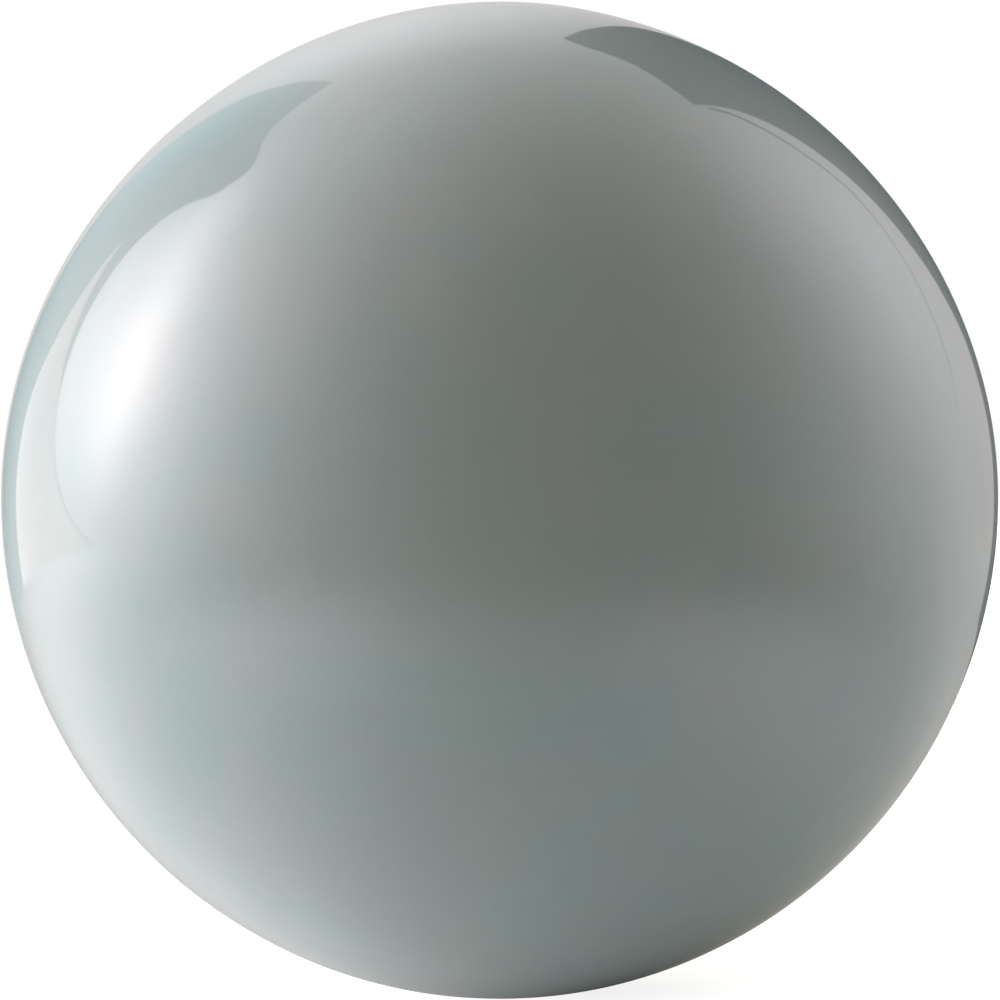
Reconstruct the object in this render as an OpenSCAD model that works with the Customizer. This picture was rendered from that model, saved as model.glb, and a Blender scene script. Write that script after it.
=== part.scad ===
// Inflatable exercise ball: a thin blown skin, a valve seat bonded into it and a push-in plug.
// The origin is the middle of the flat patch that the ball rests on, and +Z is up.
// The valve looks along +Y, level with the ball's centre, so the front (-Y) side is plain.

/* [Ball] */
// Diameter of the blown-up ball
ball_d = 650; // [450:50:850]
// Thickness of the stretched skin
skin_t = 0.9; // [0.6:0.1:2]
// Diameter of the flat patch where the ball presses on the floor
patch_d = 66; // [60:2:120]

/* [Valve seat] */
// Diameter of the neck that fills the hole in the skin
neck_d = 26; // [24:1:32]
// Diameter of the flange bonded to the inside of the skin
flange_d = 44; // [38:1:60]
// Thickness of the flange at its middle
flange_t = 2.6; // [2.4:0.2:4]
// Outer diameter of the sleeve that grips the plug
sleeve_d = 16; // [14:0.5:18]
// Depth of the sleeve's inner end below the ball's surface
sleeve_depth = 22; // [20:1:30]
// Diameter of the hole that the plug or the pump's nozzle goes into
bore_d = 8.5; // [7:0.5:10]

/* [Valve plug] */
// Diameter of the plug's head
head_d = 18; // [16:0.5:20]
// Thickness of the plug's head
head_t = 2; // [1.6:0.2:2.4]
// Gap between the plug's ribs and the hole, on the radius
plug_gap = 0.05; // [0.02:0.01:0.1]
// Number of sealing ribs on the plug's shank
rib_count = 4; // [2:1:5]
// Height of each rib along the shank
rib_h = 1.6; // [1:0.2:2]
// Length of the plug's tapered tip, past the sleeve
tip_l = 4; // [2:1:8]

/* [Hidden] */

skin_colour = [0.53, 0.58, 0.56];
seat_colour = [0.47, 0.52, 0.50];
plug_colour = [0.90, 0.91, 0.89];

// Facets of the big sphere, and of the small round valve parts
ball_facets = 256;
valve_facets = 96;
// How far a cutter runs past the face that it cuts
cut_margin = 1;

ball_r = ball_d / 2;
inner_r = ball_r - skin_t;
patch_r = patch_d / 2;
neck_r = neck_d / 2;
flange_r = flange_d / 2;
sleeve_r = sleeve_d / 2;
bore_r = bore_d / 2;
head_r = head_d / 2;

// The weight flattens the ball until the cut circle is the patch, so the centre sits a little low
centre_z = sqrt(pow(ball_r, 2) - pow(patch_r, 2));

// The head lies just under the ball's surface, in a recess that is a little wider than it
head_drop = 0.2;
head_side_gap = 0.3;
head_seat_gap = 0.05;
recess_r = head_r + head_side_gap;
recess_depth = head_drop + head_t + head_seat_gap;
// The notch in the head's rim lets a fingernail or a puller lift the plug
notch_r = 2;
notch_offset = head_r + 0.8;
notch_depth = 1.2;

// Heights below are measured along the valve's axis, from the ball's centre
flange_y = inner_r - flange_t;
sleeve_y = ball_r - sleeve_depth;
head_y = ball_r - recess_depth + head_seat_gap;
tip_y = sleeve_y - tip_l;
flange_edge = 0.8;
sleeve_root = 1.5;
edge_break = 0.4;

shank_r = bore_r - plug_gap;
core_r = shank_r - 0.6;
tip_r = core_r - 1.4;
rib_first = sleeve_y + 1;
rib_pitch = (head_y - rib_first - rib_h) / rib_count;

// Turns a profile about the valve's axis and carries it to the valve's place
module on_valve_axis() {
    translate([0, 0, centre_z])
        rotate([-90, 0, 0])
            rotate_extrude($fn = valve_facets)
                children();
}

// A ball of the given radius with its underside flat at the given height
module standing_ball(radius, floor_z) {
    difference() {
        translate([0, 0, centre_z])
            sphere(r = radius, $fn = ball_facets);
        translate([-ball_r, -ball_r, floor_z - ball_d])
            cube([ball_d, ball_d, ball_d]);
    }
}

// The blown skin: one closed wall, open only at the round hole that the valve seat fills
module ball_shell() {
    color(skin_colour)
        difference() {
            standing_ball(ball_r, 0);
            standing_ball(inner_r, skin_t);
            translate([0, 0, centre_z])
                rotate([-90, 0, 0])
                    cylinder(r = neck_r, h = ball_r + cut_margin, $fn = valve_facets);
        }
}

// Half section of the valve seat: neck, flange and sleeve around the hole, with the head's recess
module seat_profile() {
    difference() {
        union() {
            intersection() {
                circle(r = ball_r, $fn = ball_facets);
                translate([0, flange_y])
                    square([neck_r, ball_r]);
            }
            intersection() {
                circle(r = inner_r, $fn = ball_facets);
                polygon([
                    [0, flange_y],
                    [flange_r - flange_edge, flange_y],
                    [flange_r, flange_y + flange_edge],
                    [flange_r, ball_r],
                    [0, ball_r]
                ]);
            }
            polygon([
                [0, sleeve_y],
                [sleeve_r - edge_break, sleeve_y],
                [sleeve_r, sleeve_y + edge_break],
                [sleeve_r, flange_y - sleeve_root],
                [sleeve_r + sleeve_root, flange_y],
                [sleeve_r + sleeve_root, flange_y + edge_break],
                [0, flange_y + edge_break]
            ]);
        }
        translate([0, sleeve_y - cut_margin])
            square([bore_r, sleeve_depth + 2 * cut_margin]);
        translate([0, ball_r - recess_depth])
            square([recess_r, recess_depth + cut_margin]);
    }
}

// The harder grommet that is bonded into the skin and grips the plug
module valve_seat() {
    color(seat_colour)
        on_valve_axis()
            seat_profile();
}

// Half section of the plug: domed head, core, sealing ribs and tapered tip
module plug_profile() {
    intersection() {
        circle(r = ball_r - head_drop, $fn = ball_facets);
        polygon([
            [0, head_y],
            [head_r - edge_break, head_y],
            [head_r, head_y + edge_break],
            [head_r, head_y + head_t - edge_break],
            [head_r - edge_break, head_y + head_t],
            [0, head_y + head_t]
        ]);
    }
    polygon([
        [0, tip_y],
        [tip_r, tip_y],
        [core_r, sleeve_y],
        [core_r, head_y + edge_break],
        [0, head_y + edge_break]
    ]);
    for (rib = [0:rib_count - 1])
        translate([0, rib_first + rib * rib_pitch])
            square([shank_r, rib_h]);
}

// The stopper: pushed in by hand, pulled out along +Y to let the air in or out
module valve_plug() {
    color(plug_colour)
        difference() {
            on_valve_axis()
                plug_profile();
            translate([0, ball_r - head_drop - notch_depth, centre_z + notch_offset])
                rotate([-90, 0, 0])
                    cylinder(r = notch_r, h = notch_depth + cut_margin, $fn = valve_facets);
        }
}

ball_shell();
valve_seat();
valve_plug();
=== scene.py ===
import math

import bpy
import numpy as np
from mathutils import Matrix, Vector


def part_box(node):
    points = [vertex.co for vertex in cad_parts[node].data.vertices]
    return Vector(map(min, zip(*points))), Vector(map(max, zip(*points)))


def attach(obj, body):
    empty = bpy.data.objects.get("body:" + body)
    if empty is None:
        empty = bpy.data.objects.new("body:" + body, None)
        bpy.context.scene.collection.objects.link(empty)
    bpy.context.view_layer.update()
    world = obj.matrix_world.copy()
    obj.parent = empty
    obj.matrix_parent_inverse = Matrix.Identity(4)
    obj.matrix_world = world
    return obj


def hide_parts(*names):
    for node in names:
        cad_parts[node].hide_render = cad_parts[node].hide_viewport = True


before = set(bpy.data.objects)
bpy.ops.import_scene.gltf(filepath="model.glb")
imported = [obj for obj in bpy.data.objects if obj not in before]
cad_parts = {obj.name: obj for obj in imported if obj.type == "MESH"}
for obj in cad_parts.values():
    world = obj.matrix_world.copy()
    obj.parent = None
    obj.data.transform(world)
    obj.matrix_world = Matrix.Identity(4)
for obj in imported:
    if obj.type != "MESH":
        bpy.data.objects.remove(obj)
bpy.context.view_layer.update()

MM = 0.001

# ------------------------------------------ places from the frame, and the design's own dimensions

shell_low, shell_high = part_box("ball_shell")
BALL_R = (shell_high.x - shell_low.x) / 2
CENTRE = Vector((0.0, 0.0, shell_high.z - BALL_R))
SKIN_T = 0.9 * MM
NECK_R = 13 * MM


def smooth_step(low, high, x):
    """0 below low, 1 above high, and a smooth S between them."""
    t = np.clip((x - low) / (high - low), 0.0, 1.0)
    return t * t * (3 - 2 * t)


# ---------------------------------------------------------------- mesh helpers


def mesh_object(name, points, faces, material):
    """A smooth-shaded mesh piece with one material."""
    mesh = bpy.data.meshes.new(name)
    mesh.from_pydata([tuple(p) for p in points], [], faces)
    mesh.validate()
    mesh.polygons.foreach_set("use_smooth", [True] * len(mesh.polygons))
    piece = bpy.data.objects.new(name, mesh)
    bpy.context.scene.collection.objects.link(piece)
    mesh.materials.append(material)
    return piece


def concentric(a, b):
    """Shirley and Chiu's map of a square (-1 to 1 each way) onto a disc: radius and angle."""
    if a == 0 and b == 0:
        return 0.0, 0.0
    if abs(a) >= abs(b):
        turn = 0.0 if a > 0 else math.pi
        return abs(a), turn + math.pi / 4 * b / a
    turn = math.pi / 2 if b > 0 else -math.pi / 2
    return abs(b), turn - math.pi / 4 * a / b


# ---------------------------------------------------------------- the blown skin

# Cells along each side of the front cap's grid. The rings have as many points as its border.
CAP_CELLS = 64
SEGMENTS = 4 * CAP_CELLS
CAP_ANGLE = math.radians(35)
# Rings at and beside the parting line
BELT_OFFSETS = [x * MM for x in (-2.4, -1.4, -0.9, -0.5, -0.2, 0, 0.2, 0.5, 0.9, 1.4, 2.4)]
# The rings' spacing, fine at the valve and wider towards the front
FIRST_STEP = 0.35 * MM
LONGEST_STEP = 8.5 * MM
STEP_GROWTH = 1.07


def ring_arcs():
    """Distances along the skin from the valve's pole at which the mesh has a ring, out to the front cap."""
    belt = BALL_R * math.pi / 2
    end = BALL_R * (math.pi - CAP_ANGLE)
    arcs, arc, step = [], BALL_R * math.asin(NECK_R / BALL_R), FIRST_STEP
    while arc < end - LONGEST_STEP / 2:
        if abs(arc - belt) > BELT_OFFSETS[-1] + step / 2:
            arcs.append(arc)
        arc += step
        step = min(step * STEP_GROWTH, LONGEST_STEP)
    return sorted(arcs + [belt + x for x in BELT_OFFSETS]) + [end]


def around_valve(polar, angle):
    """Unit direction at an angle from the valve's axis and a turn about it."""
    return math.sin(polar) * math.cos(angle), math.cos(polar), math.sin(polar) * math.sin(angle)


def skin_grid():
    """Unit directions from the ball's centre, and quads.

    The quads lie in rings about the valve's axis. A square grid drawn onto a disc closes them at the
    front, so that no fan of thin triangles shows there."""
    directions, faces = [], []
    angles = [2 * math.pi * k / SEGMENTS for k in range(SEGMENTS)]
    arcs = ring_arcs()
    for arc in arcs:
        polar = arc / BALL_R
        for a in angles:
            directions.append(around_valve(polar, a))
    for ring in range(len(arcs) - 1):
        for k in range(SEGMENTS):
            here, there = ring * SEGMENTS, (ring + 1) * SEGMENTS
            after = (k + 1) % SEGMENTS
            faces.append((here + k, there + k, there + after, here + after))
    last_ring = (len(arcs) - 1) * SEGMENTS
    index = {}
    for i in range(CAP_CELLS + 1):
        for j in range(CAP_CELLS + 1):
            radius, angle = concentric(2 * i / CAP_CELLS - 1, 2 * j / CAP_CELLS - 1)
            if i in (0, CAP_CELLS) or j in (0, CAP_CELLS):
                index[i, j] = last_ring + round(angle / (2 * math.pi) * SEGMENTS) % SEGMENTS
                continue
            polar = math.pi - radius * CAP_ANGLE
            index[i, j] = len(directions)
            directions.append(around_valve(polar, angle))
    for i in range(CAP_CELLS):
        for j in range(CAP_CELLS):
            faces.append((index[i, j], index[i, j + 1], index[i + 1, j + 1], index[i + 1, j]))
    return np.array(directions), faces


def out_of_round(d):
    """How far the blown skin stands off a true sphere: four broad lobes around the front view's outline."""
    lobes = d[:, 0] ** 4 - 6 * d[:, 0] ** 2 * d[:, 2] ** 2 + d[:, 2] ** 4
    fade_start, fade_end = 0.10, 0.45
    away_from_valve = smooth_step(fade_start, fade_end, np.arccos(np.clip(d[:, 1], -1, 1)))
    height, more_at_top = 0.8, 0.6
    return (height + more_at_top * d[:, 2]) * MM * lobes * away_from_valve


def unevenness(d):
    """Faint waves in the blown film, 45 to 130 mm long, which make its reflections waver a little."""
    seed, waves = 11, 60
    shortest, longest = 45, 130
    height = 0.05 * MM
    rng = np.random.default_rng(seed)
    ways = rng.normal(size=(waves, 3))
    ways /= np.linalg.norm(ways, axis=1)[:, None]
    lengths = rng.uniform(shortest, longest, waves) * MM
    phases = rng.uniform(0, 2 * math.pi, waves)
    turns = 2 * math.pi * BALL_R * (d @ ways.T) / lengths + phases
    shares = lengths / lengths.mean()
    return height * (np.cos(turns) * shares).sum(axis=1) / math.sqrt(waves / 2)


def parting_line(arc):
    """The fine ridge that the two halves of the mould leave around the ball's middle."""
    height, half_width = 0.28 * MM, 0.55 * MM
    return height * np.exp(-((arc / half_width) ** 2))


def valve_land(arc, angle):
    """Relief around the valve: a rolled edge at the grommet, the step where the inner flange shows
    through, a moulded ring and stretch marks."""
    edge_drop, edge_w = 0.35 * MM, 1.2 * MM
    flange_rise, flange_start, flange_end = 0.30 * MM, 21.5 * MM, 25.0 * MM
    ring_rise, ring_at, ring_half_w = 0.22 * MM, 30 * MM, 0.9 * MM
    mark_rise, marks_start, marks_full = 0.05 * MM, 13.5 * MM, 18 * MM
    marks_fade, marks_end = 24 * MM, 58 * MM
    coarse_marks, fine_marks = 23, 41
    past_edge = smooth_step(NECK_R, NECK_R + edge_w, arc)
    rolled_edge = -edge_drop * (1 - past_edge)
    flange_step = flange_rise * (1 - smooth_step(flange_start, flange_end, arc))
    mould_ring = ring_rise * np.exp(-(((arc - ring_at) / ring_half_w) ** 2))
    # Two sets of marks, unevenly spaced around the valve
    marks = np.cos(coarse_marks * angle + 2.2 * np.sin(3 * angle)) + 0.6 * np.cos(fine_marks * angle + 1.7)
    reach = smooth_step(marks_start, marks_full, arc) * (1 - smooth_step(marks_fade, marks_end, arc))
    return rolled_edge + flange_step * past_edge + mould_ring + mark_rise * marks * reach


def flattened(z, floor):
    """z with a smooth flat floor: the contact patch, with the skin rising off it without a crease."""
    blend = 0.6 * MM
    above = z - floor
    curved = (above + blend) ** 2 / (4 * blend)
    return floor + np.where(above < -blend, 0.0, np.where(above > blend, above, curved))


def blown_skin(material):
    """The ball's skin as one closed wall: outer face, inner face and the rim of the valve's hole."""
    d, faces = skin_grid()
    polar = np.arccos(np.clip(d[:, 1], -1, 1))
    arc = BALL_R * polar
    angle = np.arctan2(d[:, 2], d[:, 0])
    belt = BALL_R * math.pi / 2
    relief = out_of_round(d) + unevenness(d) + parting_line(arc - belt) + valve_land(arc, angle)
    walls = []
    for depth in (0.0, SKIN_T):
        base = BALL_R - depth + (relief if depth == 0 else out_of_round(d))
        points = np.array(CENTRE) + d * base[:, None]
        points[:, 2] = flattened(points[:, 2], depth)
        walls.append(points)
    count = len(d)
    inner_faces = [tuple(count + i for i in reversed(f)) for f in faces]
    rim = [(k, (k + 1) % SEGMENTS, count + (k + 1) % SEGMENTS, count + k) for k in range(SEGMENTS)]
    return mesh_object("blown_skin", np.vstack(walls), faces + inner_faces + rim, material)


# ---------------------------------------------------------------- the valve


def lathe(name, profile, material, segments=144, reshape=None):
    """Turns a closed outline of (radius, distance from the ball's centre) points about the valve's axis.

    Points at radius 0 become single points on the axis. reshape(radius, along, angle) may change a
    radius."""
    points, rings, faces = [], [], []
    for radius, along in profile:
        if radius == 0:
            rings.append([len(points)] * segments)
            points.append((CENTRE.x, CENTRE.y + along, CENTRE.z))
            continue
        ring = []
        for k in range(segments):
            angle = 2 * math.pi * k / segments
            r = reshape(radius, along, angle) if reshape else radius
            ring.append(len(points))
            x, z = CENTRE.x + r * math.cos(angle), CENTRE.z + r * math.sin(angle)
            points.append((x, CENTRE.y + along, z))
        rings.append(ring)
    closed = profile[0][0] != 0
    for here, there in zip(rings, rings[1:] + rings[:1] if closed else rings[1:]):
        for k in range(segments):
            n = (k + 1) % segments
            corner = list(dict.fromkeys((here[k], here[n], there[n], there[k])))
            if len(corner) > 2:
                faces.append(tuple(corner))
    return mesh_object(name, points, faces, material)


def rounded(corners, radii, steps=4):
    """An outline with each corner rounded by its own radius (0 keeps it sharp)."""
    outline = []
    count = len(corners)
    for i, (corner, radius) in enumerate(zip(corners, radii)):
        here = Vector(corner)
        if radius == 0:
            outline.append(tuple(here))
            continue
        before = (Vector(corners[i - 1]) - here).normalized()
        after = (Vector(corners[(i + 1) % count]) - here).normalized()
        start, end = here + before * radius, here + after * radius
        for s in range(steps + 1):
            t = s / steps
            outline.append(tuple((1 - t) ** 2 * start + 2 * t * (1 - t) * here + t ** 2 * end))
    return outline


seat_low, seat_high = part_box("valve_seat")
plug_low, plug_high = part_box("valve_plug")
FLANGE_R = (seat_high.x - seat_low.x) / 2
SLEEVE_END = seat_low.y
FLANGE_T = 2.6 * MM
FLANGE_BACK = BALL_R - SKIN_T - FLANGE_T
SLEEVE_R = 8 * MM
BORE_R = 4.25 * MM
RECESS_R = 9.3 * MM
RECESS_DEPTH = 2.25 * MM
HEAD_R = (plug_high.x - plug_low.x) / 2
HEAD_TOP = plug_high.y
PLUG_GAP = 0.05 * MM
HEAD_UNDER = BALL_R - RECESS_DEPTH + PLUG_GAP
TIP_END = plug_low.y


def on_sphere(radius, distance):
    """Distance along the valve's axis of a point of the sphere that far from the axis."""
    return math.sqrt(distance ** 2 - radius ** 2)


def valve_grommet(material):
    """The grommet bonded into the skin: a face flush with the ball, a recess for the plug's head, a
    flange and a sleeve."""
    inner = BALL_R - SKIN_T
    corners = [
        (BORE_R, SLEEVE_END),
        (SLEEVE_R, SLEEVE_END),
        (SLEEVE_R, FLANGE_BACK),
        (FLANGE_R, FLANGE_BACK),
        (FLANGE_R, on_sphere(FLANGE_R, inner)),
        (NECK_R, on_sphere(NECK_R, inner)),
        (NECK_R, on_sphere(NECK_R, BALL_R)),
        (RECESS_R, on_sphere(RECESS_R, BALL_R)),
        (RECESS_R, BALL_R - RECESS_DEPTH),
        (BORE_R, BALL_R - RECESS_DEPTH),
    ]
    radii = [x * MM for x in (0.4, 0.6, 1.5, 0.8, 0.3, 0, 0.35, 0.3, 0.2, 0.5)]
    return lathe("valve_grommet", rounded(corners, radii), material)


def valve_stopper(material):
    """The push-in stopper: a dished head with a notch for a fingernail, sealing ribs and a tapered,
    cored tip."""
    shank_r, core_r, tip_r = BORE_R - PLUG_GAP, BORE_R - 0.65 * MM, 2.2 * MM
    hole_r, hole_end = 1.2 * MM, TIP_END + 5 * MM
    first_rib, rib_h = SLEEVE_END + 1 * MM, 1.6 * MM
    ribs = 4
    pitch = (HEAD_UNDER - first_rib - rib_h) / ribs
    corners = [
        (0, hole_end),
        (hole_r, hole_end),
        (hole_r, TIP_END),
        (tip_r, TIP_END),
        (core_r, SLEEVE_END),
    ]
    radii = [0, 0.3 * MM, 0.3 * MM, 0.4 * MM, 0.6 * MM]
    for rib in range(ribs):
        low = first_rib + rib * pitch
        corners += [(core_r, low), (shank_r, low), (shank_r, low + rib_h), (core_r, low + rib_h)]
        radii += [0.15 * MM, 0.3 * MM, 0.3 * MM, 0.15 * MM]
    rim_w, dish_inset, dish_floor = 1.6 * MM, 2.2 * MM, HEAD_TOP - 0.45 * MM
    boss_foot_r, boss_r = 2.0 * MM, 1.6 * MM
    corners += [
        (core_r, HEAD_UNDER),
        (HEAD_R, HEAD_UNDER),
        (HEAD_R, HEAD_TOP - 0.1 * MM),
        (HEAD_R - rim_w, HEAD_TOP - 0.05 * MM),
        (HEAD_R - dish_inset, dish_floor),
        (boss_foot_r, dish_floor),
        (boss_r, HEAD_TOP - 0.15 * MM),
        (0, HEAD_TOP - 0.1 * MM),
    ]
    radii += [x * MM for x in (0.5, 0.3, 0.45, 0.3, 0.3, 0.2, 0.2, 0)]

    def notched(radius, along, angle):
        """The radius cut back where a scallop of 2 mm radius bites the head's rim, at the top."""
        bite_r, bite_at = 2 * MM, HEAD_R + 0.8 * MM
        lowest = HEAD_UNDER + 0.7 * MM
        off = abs(math.atan2(math.sin(angle - math.pi / 2), math.cos(angle - math.pi / 2)))
        if along < lowest or math.sin(off) >= bite_r / bite_at or off > math.pi / 2:
            return radius
        wall = bite_at * math.cos(off) - math.sqrt(bite_r ** 2 - (bite_at * math.sin(off)) ** 2)
        return min(radius, wall)

    segments = 192
    return lathe("valve_stopper", rounded(corners, radii), material, segments, notched)


# ---------------------------------------------------------------- materials


class Nodes:
    """A short way to write a node tree."""

    def __init__(self, name):
        self.material = bpy.data.materials.new(name)
        self.material.use_nodes = True
        self.tree = self.material.node_tree
        self.shader = self.tree.nodes["Principled BSDF"]
        self.place = self.add("ShaderNodeTexCoord").outputs["Object"]

    def add(self, kind, **inputs):
        node = self.tree.nodes.new(kind)
        for name, value in inputs.items():
            self.feed(node.inputs[name.replace("_", " ")], value)
        return node

    def feed(self, socket, value):
        if isinstance(value, bpy.types.NodeSocket):
            self.tree.links.new(value, socket)
        else:
            socket.default_value = value

    def noise(self, scale, detail=2.0, roughness=0.5, distortion=0.0):
        node = self.add(
            "ShaderNodeTexNoise", Vector=self.place, Scale=scale, Detail=detail,
            Roughness=roughness, Distortion=distortion,
        )
        return node.outputs["Fac"]

    def spread(self, value, from_low, from_high, to_low, to_high):
        node = self.add("ShaderNodeMapRange", Value=value)
        numbers = {"From Min": from_low, "From Max": from_high, "To Min": to_low, "To Max": to_high}
        for name, number in numbers.items():
            node.inputs[name].default_value = number
        return node.outputs["Result"]

    def mix(self, factor, a, b):
        node = self.add("ShaderNodeMix")
        node.data_type = "RGBA"
        self.feed(node.inputs["Factor"], factor)
        self.feed(node.inputs["A"], a)
        self.feed(node.inputs["B"], b)
        return node.outputs["Result"]

    def bump(self, height, distance, under=None):
        node = self.add("ShaderNodeBump", Height=height, Distance=distance, Strength=1.0)
        if under is not None:
            self.tree.links.new(under, node.inputs["Normal"])
        return node.outputs["Normal"]


def pvc_skin():
    """Blown sage-grey PVC: a pearly body under a hard gloss, with faint mottling and handling marks."""
    dark, pale = (0.147, 0.175, 0.160, 1), (0.161, 0.189, 0.171, 1)
    pinkish, greenish, speck = (0.174, 0.180, 0.168, 1), (0.134, 0.185, 0.171, 1), (0.10, 0.12, 0.11, 1)
    m = Nodes("ball_pvc")
    clouds = m.spread(m.noise(6.0, 3.0, 0.55, 0.4), 0.35, 0.65, 0.0, 1.0)
    body = m.mix(clouds, dark, pale)
    rosy = m.spread(m.noise(8.5, 3.0, 0.6), 0.5, 0.70, 0.0, 0.8)
    body = m.mix(rosy, body, pinkish)
    green = m.spread(m.noise(7.0, 3.0, 0.6, 0.5), 0.50, 0.70, 0.0, 0.9)
    body = m.mix(green, body, greenish)
    grain = m.spread(m.noise(330.0, 3.0, 0.6), 0.25, 0.75, 0.0, 0.10)
    m.feed(m.shader.inputs["Base Color"], m.mix(grain, body, speck))
    smudge = m.noise(11.0, 5.0, 0.65, 0.8)
    m.feed(m.shader.inputs["Roughness"], m.spread(smudge, 0.3, 0.7, 0.40, 0.48))
    fine = m.bump(m.noise(420.0, 2.0), 0.02 * MM)
    wavy = m.bump(m.noise(26.0, 2.0), 0.10 * MM, under=fine)
    m.feed(m.shader.inputs["Normal"], wavy)
    m.shader.inputs["IOR"].default_value = 1.5
    m.shader.inputs["Coat Weight"].default_value = 1.0
    m.shader.inputs["Coat Roughness"].default_value = 0.05
    m.shader.inputs["Coat IOR"].default_value = 1.5
    return m.material


def grommet_pvc():
    """The grommet: the same colour, a shade darker and less glossy, with a fine moulded grain."""
    m = Nodes("grommet_pvc")
    dark, pale = (0.125, 0.150, 0.140, 1), (0.150, 0.172, 0.160, 1)
    colour = m.mix(m.noise(160.0, 3.0), dark, pale)
    m.feed(m.shader.inputs["Base Color"], colour)
    m.feed(m.shader.inputs["Roughness"], m.spread(m.noise(420.0, 3.0), 0.3, 0.7, 0.34, 0.5))
    m.feed(m.shader.inputs["Normal"], m.bump(m.noise(1500.0, 2.0), 0.03 * MM))
    return m.material


def stopper_plastic():
    """The stopper: white polyethylene, waxy, with faint scuffs."""
    m = Nodes("stopper_plastic")
    scuffed, clean = (0.74, 0.75, 0.73, 1), (0.82, 0.82, 0.80, 1)
    colour = m.mix(m.noise(220.0, 4.0, 0.6), scuffed, clean)
    m.feed(m.shader.inputs["Base Color"], colour)
    m.feed(m.shader.inputs["Roughness"], m.spread(m.noise(600.0, 4.0), 0.3, 0.7, 0.32, 0.5))
    m.feed(m.shader.inputs["Normal"], m.bump(m.noise(2200.0, 2.0), 0.02 * MM))
    m.shader.inputs["Subsurface Weight"].default_value = 0.2
    m.shader.inputs["Subsurface Radius"].default_value = (0.002, 0.002, 0.002)
    return m.material


skin = blown_skin(pvc_skin())
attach(skin, "ball")
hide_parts("ball_shell")

grommet = valve_grommet(grommet_pvc())
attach(grommet, "ball")
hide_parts("valve_seat")

stopper = valve_stopper(stopper_plastic())
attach(stopper, "plug")
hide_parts("valve_plug")

# ---------------------------------------------------------------- studio

# Tints of the lights
NEUTRAL, WARM, SAND = (1.0, 1.0, 1.0), (1.15, 0.97, 0.95), (1.06, 1.01, 0.9)
COOL, PALE_BLUE, SAGE = (0.97, 0.98, 1.05), (0.89, 1.0, 1.10), (0.87, 1.02, 1.07)
ROSY = (1.05, 1.0, 1.01)

# The strengths of the lights, patches and cards below aren't free choices: they began as a
# least-squares fit of separately rendered lights to the real ball's colours, made by another
# program, and were then rounded and changed by hand.

# Soft lights of the room, each brightest in one direction:
# azimuth, elevation, angular width, strength, tint
GLOWS = {
    "left_core_foot": (-80, 9, 8, 1.3, WARM),
    "left_core_low": (-84, 18, 8, 2.45, WARM),
    "left_core": (-82, 28, 8, 1.75, WARM),
    "left_core_high": (-76, 36, 8, 0.7, WARM),
    "left_core_top": (-70, 43, 8, 1.0, NEUTRAL),
    "left_box": (-82, 21, 26, 3.3, COOL),
    "left_room": (-88, 12, 50, 1.75, COOL),
    "left_low": (-85, -15, 32, 0.68, COOL),
    "right_box": (62, 36, 24, 0.73, COOL),
    "right_room": (75, 15, 42, 1.1, COOL),
    "overhead": (-70, 63, 28, 0.65, COOL),
    "overhead_back": (-10, 62, 24, 0.18, COOL),
    "backdrop": (-14, 42, 20, 0.69, COOL),
    "back_low": (-10, 12, 24, 0.17, COOL),
}
ROOM_STRENGTH = 0.355

# Light that the floor sends up besides: x, y, width in metres, strength, tint
FLOOR_PATCHES = {
    "contact_left": (-0.20, -0.12, 0.18, 0.6, COOL),
    "contact_front": (0.0, -0.22, 0.16, 0.2, PALE_BLUE),
    "near_left_front": (-0.5, -0.5, 0.4, 1.38, PALE_BLUE),
    "near_front": (0.0, -0.6, 0.35, 0.1, PALE_BLUE),
    "behind_left": (-2.3, 0.6, 0.8, 0.4, NEUTRAL),
    "near_right_front": (0.5, -0.45, 0.4, 0.9, PALE_BLUE),
}
# The share of light that the floor scatters, and the extra glow that only the camera sees
FLOOR_ALBEDO = 0.25
FLOOR_BOOST = 0.8
# The ball's own shadow on the floor, at its darkest to the right of the contact patch
SHADE_X = 0.06
SHADE_DEPTH = 0.8
SHADE_WIDTH = 0.11

# Cards that stand between the soft lights: how strongly each glows
CARDS = {
    "left_gap": 1.0,
    "left_wedge": 1.75,
    "right_gap": 0.14,
    "seam": 0.0,
}
CARD_DISTANCE = 2.6
# The cards of the two gaps stand behind the others
GAP_DISTANCE = CARD_DISTANCE + 0.1
# Where the left wedge is brightest, and how much brighter than the rest of it
FOOT_AT = (-80, -6)
FOOT_SHARE = 0.9
# Where the left gap's card is darkest, and how much darker than the rest of it
RIM_AT = (-24, 4)
RIM_SHARE = -0.55
# How far such a change reaches, in metres
CHANGE_WIDTH = 0.8
# The elevation of the cards' lower ends, just above the floor
FLOOR_LINE = -7


def direction(azimuth, elevation):
    """Unit vector: azimuth 0 is behind the ball, negative to the left, positive to the right."""
    a, e = math.radians(azimuth), math.radians(elevation)
    return Vector((math.sin(a) * math.cos(e), math.cos(a) * math.cos(e), math.sin(e)))


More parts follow.
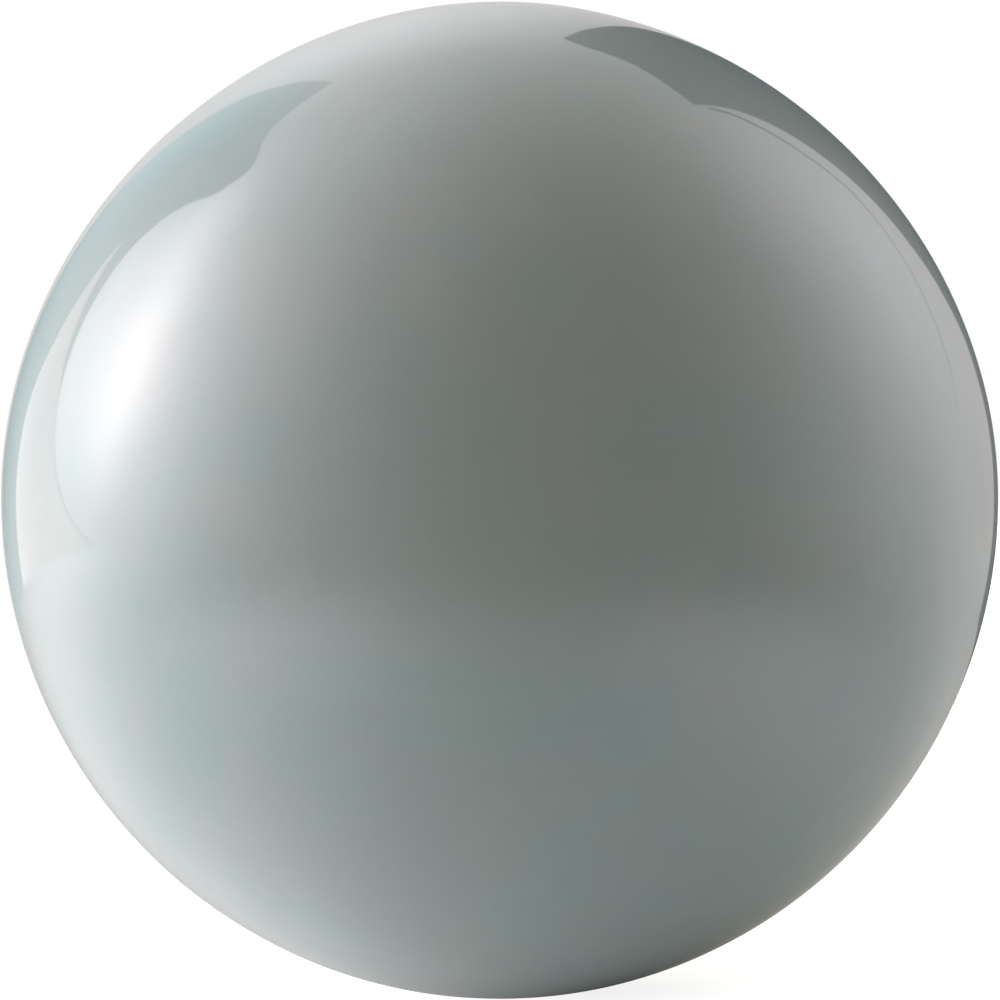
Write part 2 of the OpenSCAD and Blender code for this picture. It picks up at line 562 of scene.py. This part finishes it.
class Tree:
    """A short way to write the node trees of the studio."""

    def __init__(self, tree):
        self.tree = tree

    def node(self, kind, *values, op=None):
        node = self.tree.nodes.new(kind)
        if op:
            node.operation = op
        for socket, value in zip(node.inputs, values):
            if isinstance(value, bpy.types.NodeSocket):
                self.tree.links.new(value, socket)
            elif value is not None:
                socket.default_value = value
        return node

    def math(self, op, *values):
        return self.node("ShaderNodeMath", *values, op=op).outputs[0]

    def vector(self, op, *values):
        return self.node("ShaderNodeVectorMath", *values, op=op).outputs[0]

    def bell(self, x):
        """exp(-x * x)"""
        return self.math("EXPONENT", self.math("MULTIPLY", self.math("MULTIPLY", x, x), -1.0))

    def distance(self, place, middle):
        return self.node("ShaderNodeVectorMath", place, middle, op="DISTANCE").outputs["Value"]

    def total(self, colours):
        """The sum of colours."""
        so_far = colours[0]
        for colour in colours[1:]:
            so_far = self.vector("ADD", so_far, colour)
        return so_far

    def tinted(self, factor, strength, tint):
        """A tint times a fixed strength and a factor that may vary over the surface."""
        return self.vector("SCALE", [strength * t for t in tint], None, None, factor)

    def room_light(self, towards):
        """The light that comes from a direction, the sum of the room's glows."""
        parts = [self.tinted(1.0, ROOM_STRENGTH, SAND)]
        for azimuth, elevation, width, strength, tint in GLOWS.values():
            middle = direction(azimuth, elevation)
            dot = self.node("ShaderNodeVectorMath", towards, middle, op="DOT_PRODUCT").outputs["Value"]
            angle = self.math("ARCCOSINE", self.math("MINIMUM", dot, 1.0))
            share = self.bell(self.math("DIVIDE", angle, math.radians(width)))
            parts.append(self.tinted(share, strength, tint))
        return self.total(parts)


def world_light():
    """Camera rays see plain white; the ball sees the soft lights of a grey room."""
    world = bpy.data.worlds.new("studio_world")
    bpy.context.scene.world = world
    world.use_nodes = True
    t = Tree(world.node_tree)
    towards = t.node("ShaderNodeTexCoord").outputs["Generated"]
    background = t.tree.nodes["Background"]
    t.tree.links.new(t.room_light(towards), background.inputs["Color"])
    seen = t.node("ShaderNodeBackground", (1, 1, 1, 1), 1.0).outputs[0]
    camera_ray = t.node("ShaderNodeLightPath").outputs["Is Camera Ray"]
    mix = t.node("ShaderNodeMixShader", camera_ray, background.outputs[0], seen).outputs[0]
    t.tree.links.new(mix, t.tree.nodes["World Output"].inputs["Surface"])


def glow(name, strength, tint, change=0.0, change_at=FOOT_AT):
    """An emissive material, even except for a change of its strength around one direction."""
    material = bpy.data.materials.new(name)
    material.use_nodes = True
    t = Tree(material.node_tree)
    parts = [t.tinted(1.0, strength, tint)]
    if change:
        place = t.node("ShaderNodeTexCoord").outputs["Object"]
        gap = t.distance(place, CENTRE + direction(*change_at) * CARD_DISTANCE)
        parts.append(t.tinted(t.bell(t.math("DIVIDE", gap, CHANGE_WIDTH)), change * strength, tint))
    emission = t.node("ShaderNodeEmission", t.total(parts), 1.0)
    t.tree.links.new(emission.outputs[0], t.tree.nodes["Material Output"].inputs["Surface"])
    return material


def evenly(edge, count):
    """Points at even spacing along a polyline of (azimuth, elevation) pairs."""
    edge = np.array(edge, float)
    along = np.r_[0, np.cumsum(np.linalg.norm(np.diff(edge, axis=0), axis=1))]
    at = np.linspace(0, along[-1], count)
    return list(zip(np.interp(at, along, edge[:, 0]), np.interp(at, along, edge[:, 1])))


def ribbon(name, one_edge, other_edge, distance, material):
    """A curved studio card between two edges given as directions from the ball's centre.

    The camera doesn't see it, but the ball reflects it."""
    rows, columns = 60, 12
    one_edge = np.array(evenly(one_edge, rows))
    other_edge = np.array(evenly(other_edge, rows))
    points, faces = [], []
    for column in range(columns + 1):
        for at in one_edge + (other_edge - one_edge) * column / columns:
            points.append(tuple(CENTRE + direction(*at) * distance))
    for column in range(columns):
        for row in range(rows - 1):
            corner = column * rows + row
            faces.append((corner, corner + 1, corner + rows + 1, corner + rows))
    mesh = bpy.data.meshes.new(name)
    mesh.from_pydata(points, [], faces)
    mesh.materials.append(material)
    card = bpy.data.objects.new(name, mesh)
    bpy.context.scene.collection.objects.link(card)
    card.visible_camera = False


# The edges below are directions, azimuth and elevation in degrees. Another program worked them out
# from the outlines of the reflections on the real ball, and they were thinned and rounded by hand.
# The round softbox is a rounded circle fit to the same directions.


def softbox_arc(first, last, steps=12):
    """Directions along the round softbox's near edge, between two bearings about its middle."""
    azimuth, elevation, radius = -90, 21.5, 29
    middle = direction(azimuth, elevation)
    up = direction(azimuth, elevation + 90)
    across = middle.cross(up)
    if across.y < 0:
        across = -across
    arc = []
    for k in range(steps + 1):
        bearing = math.radians(first + (last - first) * k / steps)
        sideways = up * math.sin(bearing) + across * math.cos(bearing)
        d = middle * math.cos(math.radians(radius)) + sideways * math.sin(math.radians(radius))
        arc.append((math.degrees(math.atan2(d.x, d.y)), math.degrees(math.asin(d.z))))
    return arc


def left_gap():
    """The dark gap over the round softbox, from the backdrop's edge to the softbox's."""
    top = (-36.4, 55.5)
    far_edge = [
        (-22, FLOOR_LINE), (-25.5, 20), (-26, 24), (-27.8, 31), (-29, 37.5), (-31.8, 47.5), top,
    ]
    box_edge = [
        (-79, FLOOR_LINE), *softbox_arc(-70, 60), (-70.5, 49.5), (-69.5, 51.2), (-66, 52), (-55, 52.2),
        (-43, 54.9), top,
    ]
    material = glow("left_gap_glow", CARDS["left_gap"], SAGE, RIM_SHARE, RIM_AT)
    ribbon("left_gap", far_edge, box_edge, GAP_DISTANCE, material)


def left_wedge():
    """The pale wedge between the left gap and the round softbox, a little nearer than the gap's card."""
    top = (-53.2, 30)
    far_edge = [
        (-41, FLOOR_LINE), (-42.4, -3), (-42.6, 3), (-43.5, 7), (-45.5, 10.7), (-48.4, 15.6),
        (-51.2, 23.4), top,
    ]
    box_edge = [(-79, FLOOR_LINE), *softbox_arc(-70, -14), (-58, 16), (-54.8, 22.7), top]
    material = glow("left_wedge_glow", CARDS["left_wedge"], ROSY, FOOT_SHARE)
    ribbon("left_wedge", far_edge, box_edge, CARD_DISTANCE, material)


def right_gap():
    """The dark gap between the backdrop and the right-hand softbox."""
    top = (47, 55.6)
    near_edge = [
        (8, FLOOR_LINE), (9.5, 28), (10.7, 41), (11.2, 54), (16.8, 55.9), (27.7, 55.9), (39.4, 56.4), top,
    ]
    box_edge = [
        (29.5, FLOOR_LINE), (29.6, 3.4), (30, 7), (29, 10), (31, 13), (34.5, 20), (36, 26.5),
        (37.8, 34), (39.3, 42), (41.3, 47), (43.8, 51.4), top,
    ]
    material = glow("right_gap_glow", CARDS["right_gap"], SAGE)
    ribbon("right_gap", near_edge, box_edge, GAP_DISTANCE, material)


def seam():
    """The thin dark seam in the right-hand softbox, which tapers away towards its lower end."""
    line = [
        (46.6, 53.3), (44.8, 49), (44.4, 44), (44.4, 38), (43.3, 31), (44.6, 26.5), (48.5, 19), (51, 13),
        (54, 9),
    ]
    half_at_top, taper = 0.42, 0.045
    halves = [half_at_top - taper * k for k in range(len(line))]
    edges = [[(at[0] + side * half, at[1]) for at, half in zip(line, halves)] for side in (-1, 1)]
    ribbon("seam", *edges, CARD_DISTANCE, glow("seam_glow", CARDS["seam"], NEUTRAL))


def floor_bounce():
    """The room's light that the floor scatters back up far from the ball, in each colour."""
    steps = 48
    found = ROOM_STRENGTH * np.array(SAND)
    for azimuth, elevation, width, strength, tint in GLOWS.values():
        middle = np.array(direction(azimuth, elevation))
        share = 0.0
        for i in range(steps):
            rise = math.sqrt(1 - (i + 0.5) / steps)
            level = math.sqrt(1 - rise * rise)
            turns = 2 * math.pi * (np.arange(steps) + 0.5) / steps
            towards = np.stack([level * np.cos(turns), level * np.sin(turns), np.full(steps, rise)], 1)
            angle = np.arccos(np.clip(towards @ middle, -1, 1))
            share += np.exp(-((angle / math.radians(width)) ** 2)).mean() / steps
        found = found + strength * share * np.array(tint)
    return FLOOR_ALBEDO * found


def floor():
    """A wide pale floor. Its own glow carries the room's light on below the horizon, and the camera
    sees it brighter than the ball does, so that it meets the white background."""
    half = 200.0
    material = bpy.data.materials.new("studio_floor")
    material.use_nodes = True
    t = Tree(material.node_tree)
    place = t.node("ShaderNodeTexCoord").outputs["Object"]
    towards = t.vector("NORMALIZE", t.vector("SUBTRACT", place, CENTRE))
    own_light = t.vector("SUBTRACT", t.room_light(towards), list(floor_bounce()))
    shade = t.bell(t.math("DIVIDE", t.distance(place, (SHADE_X, 0, 0)), SHADE_WIDTH))
    open_part = t.math("SUBTRACT", 1.0, t.math("MULTIPLY", shade, SHADE_DEPTH))
    parts = [t.vector("MAXIMUM", own_light, (0, 0, 0))]
    for x, y, width, strength, tint in FLOOR_PATCHES.values():
        gap = t.distance(place, (x, y, 0))
        parts.append(t.tinted(t.bell(t.math("DIVIDE", gap, width)), strength, tint))
    shaded = t.vector("SCALE", t.total(parts), None, None, open_part)
    camera_ray = t.node("ShaderNodeLightPath").outputs["Is Camera Ray"]
    seen = t.total([shaded, t.tinted(camera_ray, FLOOR_BOOST, NEUTRAL)])
    emission = t.node("ShaderNodeEmission", seen, 1.0).outputs[0]
    scattered = t.node("ShaderNodeBsdfDiffuse", (FLOOR_ALBEDO, FLOOR_ALBEDO, FLOOR_ALBEDO, 1)).outputs[0]
    both = t.node("ShaderNodeAddShader", emission, scattered).outputs[0]
    t.tree.links.new(both, t.tree.nodes["Material Output"].inputs["Surface"])
    mesh = bpy.data.meshes.new("floor")
    corners = [(-half, -half, 0), (half, -half, 0), (half, half, 0), (-half, half, 0)]
    mesh.from_pydata(corners, [], [(0, 1, 2, 3)])
    mesh.materials.append(material)
    plane = bpy.data.objects.new("floor", mesh)
    bpy.context.scene.collection.objects.link(plane)


def camera():
    """A long lens, level with the ball's centre, with the ball filling the frame."""
    distance, fill = 2.5, 0.995
    lens_angle = math.atan(math.tan(math.asin(BALL_R / distance)) / fill)
    data = bpy.data.cameras.new("camera")
    data.sensor_width = 36
    data.lens = data.sensor_width / 2 / math.tan(lens_angle)
    data.clip_start, data.clip_end = 0.05, 500
    # A hair of shift, for the ball's place in the frame
    data.shift_x, data.shift_y = 0.0005, 0.0012
    seen_from = bpy.data.objects.new("camera", data)
    bpy.context.scene.collection.objects.link(seen_from)
    seen_from.location = CENTRE + Vector((0, -distance, 0))
    seen_from.rotation_euler = (math.pi / 2, 0, 0)
    bpy.context.scene.camera = seen_from


left_gap()
left_wedge()
right_gap()
seam()
world_light()
floor()
camera()
bpy.context.scene.view_settings.view_transform = "Standard"
